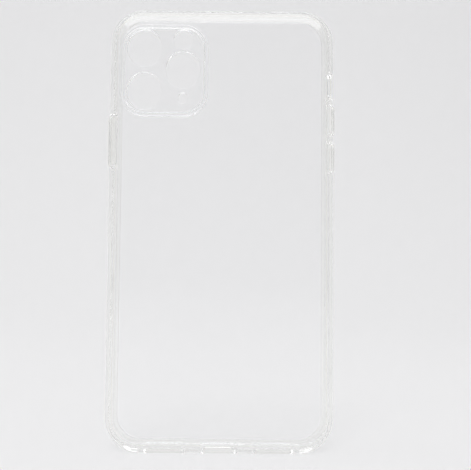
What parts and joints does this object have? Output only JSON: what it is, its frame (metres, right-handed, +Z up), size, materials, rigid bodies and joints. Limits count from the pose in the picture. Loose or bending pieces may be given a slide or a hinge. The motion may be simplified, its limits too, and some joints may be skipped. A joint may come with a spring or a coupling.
{
  "type": "phone case",
  "caption": "Clear protective phone case with a raised camera island, a rolled front lip, a mute slot and sprung side buttons.",
  "frame": {"origin": "middle of the bottom of the whole case's box, the case standing on its bottom edge", "axes": "+Z up along the case's length, +X to the right as seen from behind, -Y out of the back face, +Y out of the open screen side"},
  "size_m": [0.083, 0.0118, 0.1601],
  "materials": {
    "hard_clear": "gloss",
    "soft_clear": "gloss",
    "guard_clear": "gloss",
    "button_clear": "gloss"
  },
  "bodies": {
    "case": {"back_panel": "hard_clear", "bumper_frame": "soft_clear", "camera_guard": "guard_clear", "volume_up_membrane": "soft_clear", "volume_down_membrane": "soft_clear", "side_membrane": "soft_clear"},
    "volume_up": {"volume_up_button": "button_clear"},
    "volume_down": {"volume_down_button": "button_clear"},
    "side": {"side_button": "button_clear"}
  },
  "joints": [
    {"name": "volume_up_press", "type": "slide", "parent": "case", "child": "volume_up", "axis": [-1, 0, 0], "range_m": [0, 0.0004], "stiffness_N_per_m": 5000, "deforming": ["volume_up_membrane"]},
    {"name": "volume_down_press", "type": "slide", "parent": "case", "child": "volume_down", "axis": [-1, 0, 0], "range_m": [0, 0.0004], "stiffness_N_per_m": 5000, "deforming": ["volume_down_membrane"]},
    {"name": "side_press", "type": "slide", "parent": "case", "child": "side", "axis": [1, 0, 0], "range_m": [0, 0.0004], "stiffness_N_per_m": 5000, "deforming": ["side_membrane"]}
  ]
}
